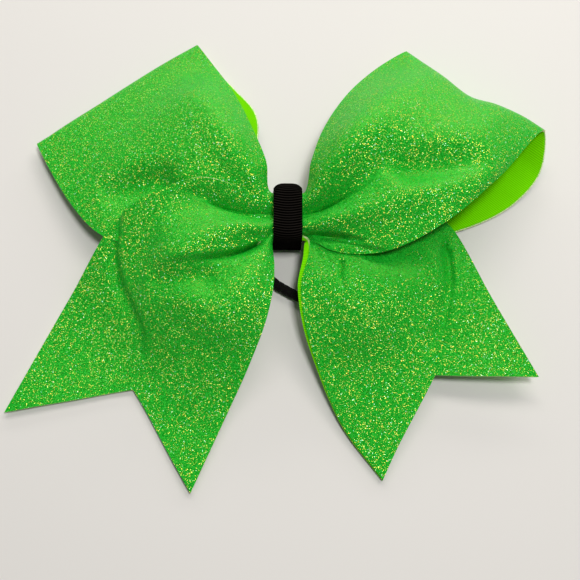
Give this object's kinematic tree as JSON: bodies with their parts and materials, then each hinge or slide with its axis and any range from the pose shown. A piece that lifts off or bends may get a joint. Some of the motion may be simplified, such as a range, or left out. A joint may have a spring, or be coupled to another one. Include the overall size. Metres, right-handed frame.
{
  "type": "cheer hair bow",
  "caption": "Flat-lying cheerleading hair bow of wide glitter ribbon lined with grosgrain, with loops, forked tails, a narrow centre wrap and a hair elastic.",
  "frame": {"origin": "on the centre wrap's flat back, the face that lies against the hair, 1.35 mm below its middle", "axes": "+X across the loops towards the viewer's right, seen from the front, +Y towards the tops of the loops, +Z out of the bow's front"},
  "size_m": [0.2109, 0.1794, 0.033],
  "materials": {
    "glitter": "glitter",
    "lining": "ribbed grosgrain",
    "wrap": "ribbed grosgrain",
    "elastic": "braided cover",
    "tie": "satin nylon",
    "glue": "hot glue",
    "sleeve": "smooth"
  },
  "bodies": {
    "knot": {"centre_wrap": "wrap", "zip_tie": "tie", "front_glue_left": "glue", "front_glue_right": "glue", "back_glue": "glue", "front_pass_glitter": "glitter", "front_pass_lining": "lining", "middle_pass_glitter": "glitter", "middle_pass_lining": "lining", "rear_pass_glitter": "glitter", "rear_pass_lining": "lining"},
    "left_side": {"left_loop_glitter": "glitter", "left_loop_lining": "lining", "left_tail_glitter": "glitter", "left_tail_lining": "lining"},
    "right_side": {"right_loop_glitter": "glitter", "right_loop_lining": "lining", "right_tail_glitter": "glitter", "right_tail_lining": "lining"},
    "left_tip": {"left_tail_tip_glitter": "glitter", "left_tail_tip_lining": "lining"},
    "right_tip": {"right_tail_tip_glitter": "glitter", "right_tail_tip_lining": "lining"},
    "elastic": {"hair_elastic": "elastic", "elastic_sleeve": "sleeve"}
  },
  "joints": [
    {"name": "left_side_fold", "type": "hinge", "parent": "knot", "child": "left_side", "pos_m": [-0.0069, 0, 0.0204], "axis": [0, 1, 0], "range_deg": [0, 20], "stiffness_Nm_per_rad": 0.02},
    {"name": "right_side_fold", "type": "hinge", "parent": "knot", "child": "right_side", "pos_m": [0.0069, 0, 0.0204], "axis": [0, -1, 0], "range_deg": [0, 20], "stiffness_Nm_per_rad": 0.02},
    {"name": "left_tip_bend", "type": "hinge", "parent": "left_side", "child": "left_tip", "pos_m": [-0.05724, -0.0592, 0.00186], "axis": [-0.9207, 0.389, -0.0312], "range_deg": [-15, 30], "stiffness_Nm_per_rad": 0.003},
    {"name": "right_tip_bend", "type": "hinge", "parent": "right_side", "child": "right_tip", "pos_m": [0.0512, -0.05614, 0.0061], "axis": [-0.8368, -0.5415, -0.081], "range_deg": [-15, 30], "stiffness_Nm_per_rad": 0.003},
    {"name": "elastic_swing", "type": "hinge", "parent": "knot", "child": "elastic", "pos_m": [0, -0.0025, 0.0059], "axis": [1, 0, 0], "range_deg": [0, 100]}
  ]
}
